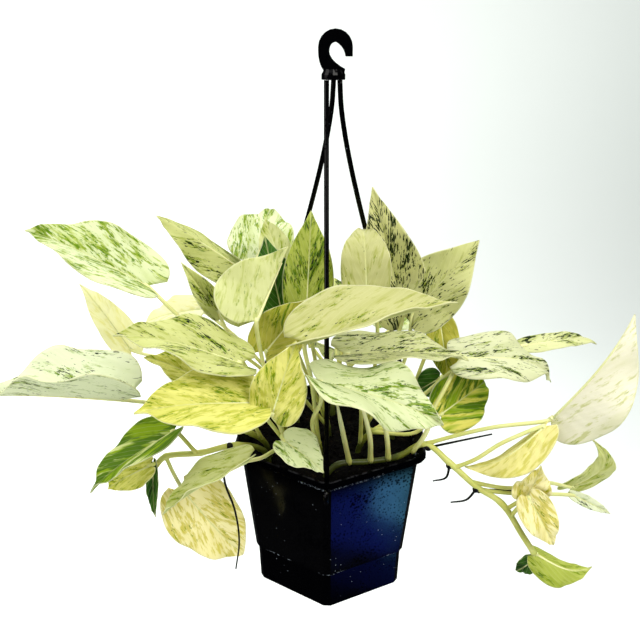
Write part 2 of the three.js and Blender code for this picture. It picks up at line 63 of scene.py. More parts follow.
# Hanger, as in the part's source: insets are from the rim's corner. Each strand has the angle
# where it leaves the hub and that of its corner, in degrees
HUB_UNDERSIDE = 348
HUB_GAP = 0.3
STRAND_RADIUS = 1.6
STRAND_RING = 4.6
STRAND_SWING = 45
STRAND_LEAN = 0.6
STRAND_LIP = (9, 115)
STRAND_FOOT = ((8, 107.4), (2, 105.6), (-0.4, 102), (0.8, 98))
STRANDS = {
    "strand_front": (210, -90),
    "strand_back_right": (-30, 30),
    "strand_back_left": (90, 150),
}

# Leaf blades. The wave is a share of the width. A side vein runs VEIN_LEAN millimetres towards
# the tip for each one outwards
BLADE_THICK = 0.7
WAVE = 0.055
WAVES = 2.2
BLADE_ROWS = 44
BLADE_COLUMNS = 32
VEIN_SPACING = 5.5
VEIN_LEAN = 1.5
QUILT = 0.22
CHANNEL_DEPTH = 0.5
CHANNEL_REACH = 1.1
EDGE_RIPPLE = 0.45

# Stems and roots
STEM_RADIUS = 2.1
STALK_RADIUS = 1.35
SPROUT_RADIUS = 1.7
ROOT_RADIUS = 0.9
CALLUS_RADIUS = 2.5
RIB_RADIUS = 0.95
RIB_DEPTH = 0.55
ROOT_TINT = -1.0

# How far apart the features of each pattern are. The real grain of leaf, stem and plastic is
# finer, and it is drawn as coarse as it needs to be to show
LEAF_GRAIN = 0.625
STEM_GRAIN = 2.22
STEM_PATCH = 11.1
PLASTIC_GRAIN = 1.43
PLASTIC_PATCH = 25
SPECK_GAP = 4.35
SPLASH = 1.92
SOIL_CRUMB = 2.38
SOIL_PATCH = 8.33

# Stage, in metres: a floor that bends up into a wall
SWEEP_HALF_WIDTH = 4
SWEEP_STEPS = 40
SWEEP_LENGTH = 5.0
FLOOR_START = -1.6
FLOOR_LENGTH = 3.0
FLOOR_LEVEL = -0.42
BEND_LENGTH = 0.8
BEND_RADIUS = 0.5
WALL_STRETCH = 2.4
WALL_SHADE_REACH = 0.9

# Lights, in metres and watts: place, what it looks at, size, power and colour
LIGHTS = {
    "window": ((0.9, -1.0, 1.3), (0, 0, 0.15), (1.2, 1.2), 34, "FFFDF6"),
    "fill": ((-1.3, -0.8, 0.9), (0, 0, 0.15), (1.4, 1.4), 20, "FFFDF8"),
    "back": ((-0.3, 1.1, 1.2), (0, 0, 0.2), (1.4, 0.8), 14, "FFFFFF"),
    "ceiling": ((0, 0, 1.9), (0, 0, 0), (2.4, 2.4), 30, "FAFCFF"),
}
# What the pot's right face mirrors: a soft blue panel and a paler one at its far side
PANELS = {
    "low_blue": ((0.315, -0.19, -0.243), (0.03, -0.05, 0.065), (0.11, 0.095), 0.20, "1E34B4"),
    "low_teal": ((0.360, -0.162, -0.222), (0.03, -0.05, 0.065), (0.05, 0.085), 0.17, "5AA6C4"),
}
WORLD_STRENGTH = 0.06

# Camera, fitted to the photo: its place in metres, its turn in degrees, and its focal length,
# which is in pixels of a picture so many pixels wide
CAMERA_PLACE = (0.01775, -0.4609, 0.3736)
CAMERA_TURN = (68.62, 0, 3.2)
SENSOR_WIDTH = 36
FOCAL_PIXELS = 731.4
PICTURE_PIXELS = 640

# Kinds of marbling: the pale ground, the colour of the soft clouds on it, then how much of a
# blade has clouds, green marks, dark flecks and wide green sectors, each from 0 to 1
COATS = {
    "cream": ("C8C88C", "AEB25C", 0.46, 0.28, 0.18, 0.0),
    "white": ("DFE6BA", "A6BA58", 0.36, 0.43, 0.24, 0.0),
    "pale": ("CFD394", "B0B956", 0.55, 0.36, 0.16, 0.0),
    "streaked": ("DFE6BC", "B0C050", 0.52, 0.50, 0.0, 0.20),
    "speckled": ("CDD18A", "A6B048", 0.52, 0.38, 0.36, 0.18),
    "flecked": ("D4D494", "A9AE54", 0.40, 0.22, 0.49, 0.0),
    "spotted": ("CFD192", "A9B058", 0.40, 0.24, 0.38, 0.0),
    "dotted": ("DADDA9", "AEB862", 0.44, 0.34, 0.40, 0.0),
    "ash": ("DADDB6", "AEB874", 0.44, 0.34, 0.38, 0.0),
    "grey": ("E6EBD0", "AEBE7C", 0.34, 0.34, 0.34, 0.0),
    "yellow": ("E7E488", "C0C244", 0.70, 0.38, 0.12, 0.0),
    "butter": ("ECE59E", "CAC454", 0.60, 0.20, 0.0, 0.0),
    "blush": ("F8F1BE", "CFC444", 0.62, 0.30, 0.10, 0.0),
    "ivory": ("F8F5E2", "D0D28E", 0.42, 0.22, 0.0, 0.0),
    # pale_lit: a pale leaf painted near white as painted light, for far leaves that stand in full light
    "pale_lit": ("FBF9D0", "EEEA9E", 0.45, 0.0, 0.0, 0.0),
    "olive": ("C2BE50", "A0A62E", 0.55, 0.40, 0.12, 0.28),
    "fresh": ("BCC65E", "9AAA38", 0.60, 0.36, 0.0, 0.16),
    "mossy": ("B8C25A", "98A834", 0.60, 0.50, 0.34, 0.22),
    "halved": ("E0DA6C", "B8BA34", 0.50, 0.24, 0.0, 0.52),
    "sector": ("DEE4A4", "A8B640", 0.45, 0.22, 0.0, 0.60),
    # dark: a leaf's own deep green made darker still as painted shade, for small leaves in the shade
    # behind and under others
    "dark": ("3F6F18", "1F4A10", 0.60, 0.30, 0.30, 0.0),
}

# The layers of marbling, laid from the ground up. Each has its tint, the share that it follows,
# the size of its marks across and along the side veins, where its noise is cut, the noise's
# octaves, the level above which its rarest marks show, how far that level sinks as the share
# grows, the softness of the edge, the strength, and how much the marks gather in groups
LAYERS = (
    ("cloud", "clouds", (16, 40), 0, 2, 0.66, 0.30, 0.25, 0.5, 0.0),
    ("cloud", "clouds", (2.8, 6), 3, 4, 0.68, 0.34, 0.12, 0.8, 0.2),
    ("8CAA0C", "sectors", (16, 90), 7, 3, 0.80, 0.60, 0.05, 1.0, 0.0),
    ("557A04", "sectors", (6, 30), 11, 4, 0.78, 0.52, 0.05, 1.0, 0.0),
    ("green", "green", (2.2, 3.6), 17, 4, 0.82, 0.56, 0.05, 0.9, 0.20),
    ("deep", "green", (1.6, 2.8), 29, 3, 0.86, 0.54, 0.04, 0.9, 0.22),
    ("1A2C06", "dark", (1.4, 2.8), 41, 2, 0.84, 0.60, 0.03, 1.0, 0.2),
)
# The groups that marks gather in: their size, where their noise is cut, and its octaves
GATHERING = ((9, 17), 50, 2)

# Each vine's stem, leaves, roots and sprouts, as in the part's source, with a coat for each leaf.
# A leaf leaves the stem at the share "from", and its stalk runs by "via" to the blade's foot
VINES = {
    "vine_left_high": {
        "stem": [[-30, -6, 72], [-31, -7, 104], [-35, -8, 126]],
        "leaves": [
            # high leaf that reaches out to the left
            {"coat": "streaked", "foot": [-121, -12, 219], "tip": [-201, -6, 254], "width": 54,
             "looks": [1, -6, 8], "fold": [44, 22], "from": 0.95,
             "via": [[-76, -9, 174], [-102, -11, 198]]},
            # narrow speckled leaf behind it, one half rolled down
            {"coat": "speckled", "foot": [-67, 46, 213], "tip": [-121, 23, 258], "width": 40,
             "looks": [-1, -8, 6], "fold": [8, -55], "from": 0.8, "via": [[-52, 24, 172]]},
            # small folded leaf between the two
            {"coat": "speckled", "foot": [-77, -4, 199], "tip": [-98, -10, 235], "width": 20,
             "looks": [3, -9, 3], "fold": [45, 45], "from": 0.7, "via": [[-64, -4, 168]]},
        ],
    },
    "vine_left": {
        "stem": [[-42, -24, 72], [-44, -25, 110], [-60, -32, 126]],
        "leaves": [
            # outermost left leaf, folded along its midrib
            {"coat": "grey", "foot": [-131, -49, 154], "tip": [-213, -67, 164], "width": 68,
             "looks": [0, -1, 6], "fold": [64, 62], "arch": 0.02, "from": 0.95,
             "via": [[-92, -36, 142], [-110, -42, 148]]},
            # broad leaf over the left of the pot
            {"coat": "speckled", "foot": [-52, -66, 190], "tip": [-121, -84, 214], "width": 46,
             "looks": [-1, -3, 9], "fold": [20, 22], "from": 0.6, "via": [[-56, -44, 155]]},
            # small yellow leaf under it
            {"coat": "yellow", "foot": [-77, -44, 165], "tip": [-115, -52, 186], "width": 30,
             "looks": [0, -4, 9], "fold": [20, 20], "from": 0.8, "via": [[-68, -38, 146]]},
        ],
    },
    "vine_left_front": {
        "stem": [[-26, -32, 72], [-27, -34, 108], [-30, -44, 130]],
        "leaves": [
            # broad yellow leaf in front
            {"coat": "yellow", "foot": [-42, -82, 172], "tip": [-107, -104, 175], "width": 50,
             "looks": [0, -5, 8], "fold": [25, 15], "from": 0.75, "via": [[-37, -60, 148]]},
            # upright yellow leaf beside it
            {"coat": "yellow", "foot": [-31, -86, 167], "tip": [-17, -82, 212], "width": 34,
             "looks": [0, -8, 4], "fold": [15, 15], "from": 0.9, "via": [[-30, -64, 148]]},
            # leaf that shows its underside, its left half folded back
            {"coat": "pale", "foot": [-44, -50, 211], "tip": [-27, -19, 249], "width": 66,
             "looks": [-1, 7, -2], "fold": [150, 12], "curl": 0, "from": 0.95,
             "via": [[-42, -40, 178]]},
            # leaf that hangs over the rim
            {"coat": "pale", "foot": [-51, -63, 120], "tip": [-103, -82, 91], "width": 36,
             "looks": [-3, -4, 8], "fold": [55, 10], "from": 0.55,
             "via": [[-34, -52, 122], [-42, -60, 121]]},
        ],
    },
    "vine_left_trailing": {
        "stem": [[-42, -30, 72], [-44, -32, 108], [-62, -39, 117], [-84, -50, 117],
                 [-107, -51, 114], [-116, -49, 104]],
        "leaves": [
            # green leaf on the trailing stem
            {"coat": "sector", "foot": [-97, -62, 140], "tip": [-150, -77, 102], "width": 38,
             "looks": [-3, -5, 7], "fold": [42, 12], "from": 0.62},
            # small yellow leaf under it
            {"coat": "yellow", "foot": [-117, -55, 109], "tip": [-146, -58, 92], "width": 24,
             "looks": [0, -5, 7], "fold": [15, 15], "from": 0.9},
            # narrow leaf at the stem's end
            {"coat": "dark", "foot": [-116, -51, 108], "tip": [-116, -57, 70], "width": 10,
             "looks": [0, -8, 1], "fold": [40, 40], "from": 0.97},
            # round hanging leaf
            {"coat": "blush", "foot": [-98, -48, 86], "tip": [-58, -55, 40], "width": 50,
             "looks": [0, -9, 3], "fold": [12, 12], "taper": 0.4, "from": 0.8,
             "via": [[-104, -48, 100]]},
        ],
        "roots": [
            [[-66, -42, 118], [-68, -54, 112], [-66, -63, 103], [-60, -66, 85], [-58, -66, 60],
             [-61, -67, 38]],
        ],
    },
    "vine_back_left": {
        "stem": [[-26, 24, 72], [-27, 25, 104], [-32, 30, 124]],
        "leaves": [
            # marbled leaf at the back
            {"coat": "streaked", "foot": [-56, 47, 222], "tip": [-52, 92, 248], "width": 50,
             "looks": [0, -7, 6], "fold": [15, 15], "from": 0.9, "via": [[-50, 42, 186]]},
            # small pale leaf in front of it
            {"coat": "pale", "foot": [-36, 16, 228], "tip": [-48, 34, 254], "width": 22,
             "looks": [0, -8, 5], "fold": [15, 15], "from": 0.6, "via": [[-36, 20, 180]]},
            # far leaf in the light, upright
            {"coat": "pale_lit", "foot": [-159, 53, 144], "tip": [-194, 55, 197], "width": 27,
             "looks": [4, -7, 5], "fold": [20, 20], "from": 0.95,
             "via": [[-80, 44, 150], [-128, 52, 138]]},
            # far leaf in the light, level
            {"coat": "pale_lit", "foot": [-110, 82, 168], "tip": [-156, 84, 154], "width": 32,
             "looks": [0, -5, 8], "fold": [15, 15], "from": 0.8, "via": [[-75, 60, 152]]},
        ],
    },
    "vine_centre": {
        "stem": [[-2, 4, 72], [-2, 4, 104], [-5, 2, 124]],
        "leaves": [
            # tall speckled leaf beside the front strand
            {"coat": "mossy", "foot": [-16, -16, 206], "tip": [-14, 4, 267], "width": 34,
             "looks": [1, -9, 3], "fold": [15, 15], "from": 0.8},
            # dark leaf behind it, its deep green partly its own and partly painted shade for the shade it
            # sits in
            {"coat": "dark", "foot": [-33, -4, 197], "tip": [-45, 6, 249], "width": 34,
             "looks": [1, -9, 3], "fold": [15, 15], "from": 0.7},
            # olive leaf in the middle
            {"coat": "olive", "foot": [-41, -32, 183], "tip": [-12, -33, 220], "width": 36,
             "looks": [0, -9, 4], "fold": [15, 15], "from": 0.6},
        ],
    },
    "vine_front": {
        "stem": [[-6, -28, 72], [-6, -30, 104], [-7, -38, 120]],
        "leaves": [
            # large cream leaf over the middle, its near half hanging
            {"coat": "cream", "foot": [-13, -66, 204], "tip": [76, -51, 226], "width": 60,
             "looks": [0, -4, 9], "fold": [24, 54], "arch": 0.03, "ripple": 1.5, "taper": 2,
             "from": 0.9, "via": [[-10, -54, 172]]},
            # white leaf that comes forward over the rim
            {"coat": "white", "foot": [-4, -80, 186], "tip": [68, -88, 164], "width": 54,
             "looks": [0, -3, 9], "fold": [6, 30], "twist": -80, "ripple": 7, "phase": 1.25,
             "from": 0.95, "via": [[-9, -66, 152], [-3, -76, 172]]},
            # small white leaf on the rim
            {"coat": "white", "foot": [-26, -72, 141], "tip": [-1, -84, 127], "width": 28,
             "looks": [1, -4, 8], "fold": [25, 25], "from": 0.6, "via": [[-28, -62, 139]]},
        ],
    },
    "vine_front_right": {
        "stem": [[20, -16, 72], [20, -17, 104], [29, -21, 121]],
        "leaves": [
            # speckled leaf between the cream and the white one
            {"coat": "dotted", "foot": [11, -43, 187], "tip": [89, -30, 179], "width": 46,
             "looks": [0, -4, 9], "fold": [0, 42], "from": 0.6, "via": [[20, -32, 154]]},
            # long right leaf with a waved edge and a slender tip
            {"coat": "ash", "foot": [88, -11, 172], "tip": [154, 10, 146], "width": 48,
             "looks": [0, -4, 9], "fold": [8, 14], "arch": 0.16, "ripple": 3.5, "phase": -3.1,
             "taper": 1.8, "from": 0.95, "via": [[59, -33, 128], [72, -28, 150]]},
            # narrow leaf that reaches out behind it
            {"coat": "dotted", "foot": [136, 22, 168], "tip": [192, 40, 163], "width": 15,
             "looks": [0, -5, 8], "fold": [10, 10], "arch": 0.1, "from": 0.9,
             "via": [[60, -10, 140], [100, 12, 164]]},
            # round leaf over the right of the rim
            {"coat": "halved", "foot": [75, -20, 134], "tip": [109, 16, 142], "width": 38,
             "looks": [-1, -9, 4], "fold": [12, 12], "taper": 0.6, "from": 0.97},
        ],
    },
    "vine_right_trailing": {
        "stem": [[-4, -44, 80], [-2, -45, 98], [6, -42, 106], [26, -37, 106], [46, -33, 108],
                 [64, -34, 119], [80, -42, 110], [98, -46, 95], [115, -48, 84], [131, -50, 60],
                 [140, -50, 46]],
        "leaves": [
            # large ivory leaf at the far right, folded back
            {"coat": "ivory", "foot": [142, -40, 143], "tip": [180, -50, 220], "width": 62,
             "looks": [-2, -9, 3], "fold": [-150, 5], "bend": 0.03, "curl": 0, "from": 0.5,
             "via": [[84, -37, 128], [107, -39, 136]]},
            # yellow leaf that hangs below it
            {"coat": "butter", "foot": [138, -44, 141], "tip": [90, -41, 107], "width": 34,
             "looks": [0, -6, 7], "fold": [10, -60], "bend": -0.12, "from": 0.62,
             "via": [[96, -46, 116], [112, -45, 128]]},
            # small pale leaf, curved
            {"coat": "pale", "foot": [174, -4, 69], "tip": [181, -5, 111], "width": 20,
             "looks": [0, -9, 1], "fold": [10, 10], "bend": 0.35, "from": 0.68,
             "via": [[120, -42, 92], [150, -22, 84]]},
            # narrow leaf beside it
            {"coat": "grey", "foot": [174, -10, 66], "tip": [203, -8, 50], "width": 9,
             "looks": [0, -7, 5], "fold": [20, 20], "from": 0.72,
             "via": [[122, -42, 88], [150, -24, 76]]},
            # young leaf at a joint, turned up
            {"coat": "blush", "foot": [131, -49, 91], "tip": [136, -54, 117], "width": 26,
             "looks": [0, -8, 2], "fold": [20, 20], "from": 0.82},
            # young leaf at the same joint, hanging
            {"coat": "blush", "foot": [130, -56, 95], "tip": [149, -60, 61], "width": 24,
             "looks": [1, -8, 1], "fold": [20, 20], "from": 0.84},
            # leaf at the stem's end
            {"coat": "fresh", "foot": [141, -50, 46], "tip": [179, -52, 38], "width": 30,
             "looks": [0, -8, 3], "fold": [-75, 10], "bend": 0.12, "from": 0.97},
            # small dark leaf beside it
            {"coat": "dark", "foot": [141, -50, 41], "tip": [131, -43, 25], "width": 14,
             "looks": [0, -8, 3], "fold": [15, 15], "from": 0.99},
        ],
        "roots": [
            [[80, -42, 108], [78, -44, 100], [70, -41, 95]],
            [[98, -46, 93], [92, -48, 86], [82, -46, 82]],
            [[66, -35, 117], [84, -38, 124], [106, -41, 132]],
            [[100, -45, 92], [118, -42, 90], [138, -36, 84]],
        ],
        "sprouts": [
            [[14, -40, 106], [10, -46, 130], [5, -52, 160]],
            [[28, -37, 106], [27, -42, 128], [20, -50, 160]],
            [[40, -35, 107], [38, -39, 128], [31, -46, 160]],
            [[56, -33, 112], [63, -38, 128], [68, -44, 150]],
        ],
    },
    "vine_back_right": {
        "stem": [[24, 2, 72], [24, 2, 104], [28, 2, 124]],
        "leaves": [
            # tallest leaf, at the back
            {"coat": "flecked", "foot": [49, 14, 192], "tip": [25, -3, 284], "width": 44,
             "looks": [1, -9, -1], "fold": [12, 20], "from": 0.95},
            # cream leaf bent over at its top
            {"coat": "cream", "foot": [23, -26, 217], "tip": [19, 8, 254], "width": 32,
             "looks": [0, -5, 6], "fold": [12, 12], "arch": 0.38, "from": 0.8,
             "via": [[31, 0, 188]]},
            # broad speckled leaf to the right
            {"coat": "spotted", "foot": [55, 5, 198], "tip": [95, 4, 249], "width": 46,
             "looks": [1, -8, 4], "fold": [8, 34], "from": 0.7, "via": [[50, -2, 165]]},
        ],
    },
    "vine_right": {
        "stem": [[44, 4, 72], [45, 5, 106], [56, 7, 126]],
        "leaves": [
            # olive leaf that hangs on the right
            {"coat": "olive", "foot": [75, 20, 186], "tip": [83, 12, 142], "width": 24,
             "looks": [0, -8, 3], "fold": [20, 20], "from": 0.8},
            # small dark leaf under it
            {"coat": "dark", "foot": [76, 9, 147], "tip": [59, 8, 136], "width": 22,
             "looks": [0, -8, 4], "fold": [20, 20], "from": 0.9},
            # side leaf towards the back
            {"coat": "speckled", "foot": [92, 56, 134], "tip": [144, 80, 122], "width": 44,
             "looks": [0, -2, 9], "fold": [20, 20], "from": 0.98},
        ],
    },
    "vine_back": {
        "stem": [[0, 36, 72], [0, 38, 110], [4, 58, 134]],
        "leaves": [
            # highest leaf of the back
            {"coat": "speckled", "foot": [12, 84, 176], "tip": [20, 160, 160], "width": 56,
             "looks": [0, 3, 9], "fold": [20, 20], "from": 0.95},
            # left leaf of the back
            {"coat": "pale", "foot": [-38, 86, 160], "tip": [-72, 146, 136], "width": 52,
             "looks": [-3, 3, 9], "fold": [20, 20], "from": 0.8},
            # right leaf of the back
            {"coat": "streaked", "foot": [44, 80, 155], "tip": [84, 134, 135], "width": 52,
             "looks": [3, 3, 9], "fold": [20, 20], "from": 0.8},
            # low leaf of the back
            {"coat": "speckled", "foot": [0, 82, 135], "tip": [-6, 134, 100], "width": 46,
             "looks": [0, 6, 6], "fold": [20, 20], "from": 0.99},
        ],
    },
}

# Nodes and colours

def linear(hex_colour, alpha=1.0):
    """A six digit sRGB hex colour as linear RGBA."""
    channels = [int(hex_colour[i:i + 2], 16) / 255 for i in (0, 2, 4)]
    return [c / 12.92 if c <= 0.04045 else ((c + 0.055) / 1.055) ** 2.4 for c in channels] + [alpha]


def add(tree, kind, settings=(), links=()):
    """A shader node with its settings and links. A key is an input's name or number, or a property.

    Map Range has its value at 0, what it comes from at 1 and 2, and what it goes to at 3 and 4.
    A colour Mix has its share at 0 and its two colours at 6 and 7.
    """
    made = tree.nodes.new("ShaderNode" + kind)
    for key, value in dict(settings).items():
        if key == "stops":
            for _ in value[2:]:
                made.color_ramp.elements.new(1.0)
            for element, (place, tint) in zip(made.color_ramp.elements, value):
                element.position = place
                element.color = linear(tint)
        elif isinstance(key, int) or key in made.inputs:
            made.inputs[key].default_value = value
        else:
            setattr(made, key, value)
    for key, source in dict(links).items():
        tree.links.new(source, made.inputs[key])
    return made


def new_material(name):
    """A named material with an empty tree but for its output."""
    made = bpy.data.materials.new(name)
    made.use_nodes = True
    made.node_tree.nodes.clear()
    return made, made.node_tree, made.node_tree.nodes.new("ShaderNodeOutputMaterial")


def scale_for(size):
    """The scale of a pattern on metres whose features are so many millimetres apart."""
    return 1 / (size * MM)


# Shapes shared by the pieces

def towards(angle, radius, height):
    """The point at an angle in degrees and a distance from the pot's axis."""
    turn = math.radians(angle)
    return Vector((radius * math.cos(turn), radius * math.sin(turn), height))


def curve_point(points, share):
    """The point at a share of a centripetal Catmull-Rom curve through the points."""
    place = share * (len(points) - 1)
    first = min(int(place), len(points) - 2)
    rest = place - first
    before = points[first - 1] if first > 0 else 2 * points[0] - points[1]
    start, end = points[first], points[first + 1]
    after = points[first + 2] if first + 2 < len(points) else 2 * points[-1] - points[-2]
    middle = math.sqrt((end - start).length) or 1.0
    lead = math.sqrt((start - before).length) or middle
    trail = math.sqrt((after - end).length) or middle
    leave = ((start - before) / lead - (end - before) / (lead + middle) + (end - start) / middle) * middle
    arrive = ((end - start) / middle - (after - start) / (middle + trail) + (after - end) / trail) * middle
    return (start + leave * rest + (3 * (end - start) - 2 * leave - arrive) * rest ** 2
            + (2 * (start - end) + leave + arrive) * rest ** 3)


def curve_path(points, count):
    """So many even steps along the curve through the points."""
    return [curve_point(points, i / count) for i in range(count + 1)]


def next_ring(bm, ring):
    """Extrude a ring of vertices. The new ring is in the same order and still in the same place."""
    inside = set(ring)
    around = dict.fromkeys(e for v in ring for e in v.link_edges)
    edges = [e for e in around if all(v in inside for v in e.verts)]
    new = bmesh.ops.extrude_edge_only(bm, edges=edges)["geom"]
    fresh = {v for v in new if isinstance(v, bmesh.types.BMVert)}
    return [next(e.other_vert(v) for e in v.link_edges if e.other_vert(v) in fresh) for v in ring]


def tube(bm, path, radius_at, sides, tint_at=lambda point, share: 0.0):
    """A closed round bar: one circle, extruded ring by ring along the path."""
    shade = bm.verts.layers.float["tint"]
    ring = bmesh.ops.create_circle(bm, cap_ends=False, segments=sides, radius=1.0)["verts"]
    rings = []
    across = (path[1] - path[0]).orthogonal().normalized()
    for index, point in enumerate(path):
        ahead = (path[min(index + 1, len(path) - 1)] - path[max(index - 1, 0)]).normalized()
        across = (across - across.dot(ahead) * ahead).normalized()
        over = ahead.cross(across)
        if index:
            ring = next_ring(bm, ring)
        rings.append(ring)
        share = index / (len(path) - 1)
        radius = radius_at(share)
        for k, vert in enumerate(ring):
            turn = 2 * math.pi * k / sides
            vert.co = (point + radius * (math.cos(turn) * across + math.sin(turn) * over)) * MM
            vert[shade] = tint_at(point, share)
    for end in (rings[0], rings[-1]):
        bmesh.ops.contextual_create(bm, geom=list(end))
    faces = list(dict.fromkeys(f for made in rings for vert in made for f in vert.link_faces))
    bmesh.ops.recalc_face_normals(bm, faces=faces)
    for face in faces:
        face.smooth = True


def piece(name, bm, materials, slot, *stands_for):
    """A finished piece: it rides on the body and stands for CAD nodes."""
    mesh = bpy.data.meshes.new(name)
    bm.to_mesh(mesh)
    bm.free()
    for material in materials:
        mesh.materials.append(material)
    made = bpy.data.objects.new(name, mesh)
    bpy.context.scene.collection.objects.link(made)
    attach(made, "root")
    if stands_for:
        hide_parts(*stands_for)
    return made


# Leaf blades. u runs from the foot (0) to the tip (1) of the midrib, and v from the left
# margin (-1) to the right one (1). A row of one u follows a side vein.

def outline_width(leaf, u):
    """The width as a share of the widest: lobed at the foot, full below the middle, drawn to a tip."""
    body = max(math.sin(math.pi * u ** 0.6), 0.0) ** 0.75 * (1 - 0.72 * u ** 2.2) ** leaf.get("taper", 1.2)
    return body + 0.28 * (1 - u) ** 8 + 0.012


def vein_sweep(u):
    """How far a side vein runs ahead along the midrib, or back into the lobes at the foot."""
    return 0.45 * u * (1 - u) - 0.12 * (1 - u) ** 5


def fine_relief(leaf, length, u, out, reach):
    """Soft quilting between the side veins, a channel over the midrib and a fine ripple of the edge."""
    quilt = QUILT * math.sin(2 * math.pi * length / VEIN_SPACING * u)
    quilt *= math.sin(math.pi * min(reach * 1.1, 1))
    channel = -CHANNEL_DEPTH * math.exp(-(out / CHANNEL_REACH) ** 2)
    fade = min(1, 5 * (1 - u), 8 * u)
    edge = EDGE_RIPPLE * reach ** 6 * math.sin(11 * math.pi * u + leaf["tip"][2]) * fade
    return quilt + channel + edge


def blade_point(leaf, u, v, detailed=False):
    """A point of the blade: the outline, folded at the midrib, waved, curled, twisted and bowed."""
    foot = Vector(leaf["foot"])
    along = Vector(leaf["tip"]) - foot
    length = along.length
    along.normalize()
    face = Vector(leaf["looks"])
    face = (face - face.dot(along) * along).normalized()
    side = along.cross(face)
    width = leaf["width"]
    fold = leaf["fold"][0] if v < 0 else leaf["fold"][1]
    reach = abs(v)
    s = u + vein_sweep(u) * reach ** 1.2
    out = width / 2 * outline_width(leaf, u) * reach
    slope = math.radians(fold + leaf.get("curl", -15) * out / width)
    roll = math.radians(leaf.get("twist", 0) * (s - 0.3))
    turn = WAVES * 2 * math.pi * u + leaf.get("phase", 0.1 * leaf["foot"][0]) + (0 if v < 0 else 2)
    wave = leaf.get("ripple", WAVE * width) * reach ** 2 * math.sin(turn)
    across = math.copysign(1, v) * out * math.cos(slope)
    rise = out * math.sin(slope) + wave * min(1, 6 * (1 - u))
    if detailed:
        rise += fine_relief(leaf, length, u, out, reach)
    bow = 4 * s * (1 - s) * (0.6 + 0.8 * s) * length
    return (foot + along * (s * length)
            + side * (across * math.cos(roll) - rise * math.sin(roll) + leaf.get("bend", 0) * bow)
            + face * (across * math.sin(roll) + rise * math.cos(roll) + leaf.get("arch", 0.06) * bow))


def add_blade(bm, leaf, seed):
    """A flat grid bent to the blade. Its vertices keep where they lie on the leaf, and its coat."""
    layers = bm.verts.layers
    ground, cloud, clouds, green, dark, sectors = COATS[leaf["coat"]]
    length = (Vector(leaf["tip"]) - Vector(leaf["foot"])).length
    made = bmesh.ops.create_grid(bm, x_segments=BLADE_COLUMNS, y_segments=BLADE_ROWS, size=1.0)["verts"]
    spots = {}
    for vert in made:
        # rows lie closer at the foot, and columns at the midrib
        u = ((vert.co.y + 1) / 2) ** 1.5
        v = math.copysign(abs(vert.co.x) ** 1.15, vert.co.x)
        spots[vert] = (u, v)
        out = leaf["width"] / 2 * outline_width(leaf, u) * v
        vert[layers.float_vector["leaf_place"]] = (u * length, out, seed * 37.0)
        vert[layers.float_vector["leaf_coat"]] = (clouds, green, dark)
        vert[layers.float_color["leaf_ground"]] = linear(ground)
        vert[layers.float_color["leaf_cloud"]] = linear(cloud)
        vert[layers.float["leaf_sector"]] = sectors
        vert.co = blade_point(leaf, u, v, True) * MM
    for face in {f for vert in made for f in vert.link_faces}:
        face.smooth = True
        for loop in face.loops:
            u, v = spots[loop.vert]
            loop[bm.loops.layers.uv["UVMap"]].uv = ((v + 1) / 2, u)


def blade_up(leaf, u):
    """The way the upper face looks at a point of the midrib."""
    ahead = blade_point(leaf, min(u + 0.02, 1), 0) - blade_point(leaf, max(u - 0.02, 0), 0)
    right = blade_point(leaf, u, 0.05) - blade_point(leaf, u, -0.05)
    return right.cross(ahead).normalized()


# Stems

def stem_radius(share):
    """A stem swells at its joints."""
    return STEM_RADIUS * (0.94 + 0.16 * max(math.cos(2 * math.pi * 5 * share), 0) ** 6)


def stem_tint(point, share):
    """A stem is dark olive where it lies low on the soil inside the rim, and green where it stands or
    hangs clear of it.
    """
    clear = max((point.z - SOIL_EDGE_HEIGHT - 8) / 26, (math.hypot(point.x, point.y) - 62) / 10)
    return -0.28 + 0.63 * min(max(clear, 0), 1)


def stalk_radius(share):
    """A stalk swells where it leaves the stem, and again at the knee below its blade."""
    return STALK_RADIUS * (1 + 0.35 * math.exp(-(share / 0.05) ** 2)
                           + 0.18 * math.exp(-((share - 0.93) / 0.04) ** 2))


def stalk_tint(point, share):
    """A stalk pales towards its blade."""
    return 0.3 + 0.45 * share


def sprout_radius(share):
    """A rolled young leaf is thickest at its joint and ends in a point."""
    return SPROUT_RADIUS * (1 + 0.25 * math.exp(-(share / 0.12) ** 2)) * (1 - 0.85 * share ** 5)


def sprout_tint(point, share):
    """A rolled young leaf pales towards its point."""
    return 0.3 + 0.6 * share


def add_stalk(bm, leaf, stem):
    """A leaf's stalk, and the rib that carries on under the blade."""
    points = [curve_point(stem, leaf["from"])] + [Vector(p) for p in leaf.get("via", ())]
    points += [Vector(leaf["foot"]), blade_point(leaf, 0.03, 0)]
    tube(bm, curve_path(points, 6 * len(points)), stalk_radius, 8, stalk_tint)
    stations = [0.01] + [k / 10 for k in range(1, 9)]
    rib = [blade_point(leaf, u, 0) - RIB_DEPTH * blade_up(leaf, u) for u in stations]
    tube(bm, rib, lambda share: RIB_RADIUS - 0.65 * share, 6, lambda point, share: 0.7)


def add_root(bm, root):
    """A thin black root that leaves the stem at a callus."""
    shade = bm.verts.layers.float["tint"]
    place = Matrix.Translation(root[0] * MM)
    callus = bmesh.ops.create_icosphere(bm, subdivisions=2, radius=CALLUS_RADIUS * MM, matrix=place)
    for vert in callus["verts"]:
        vert[shade] = ROOT_TINT
    tube(bm, curve_path(root, 20), lambda share: ROOT_RADIUS * (1 - 0.4 * share), 6,
         lambda point, share: ROOT_TINT)


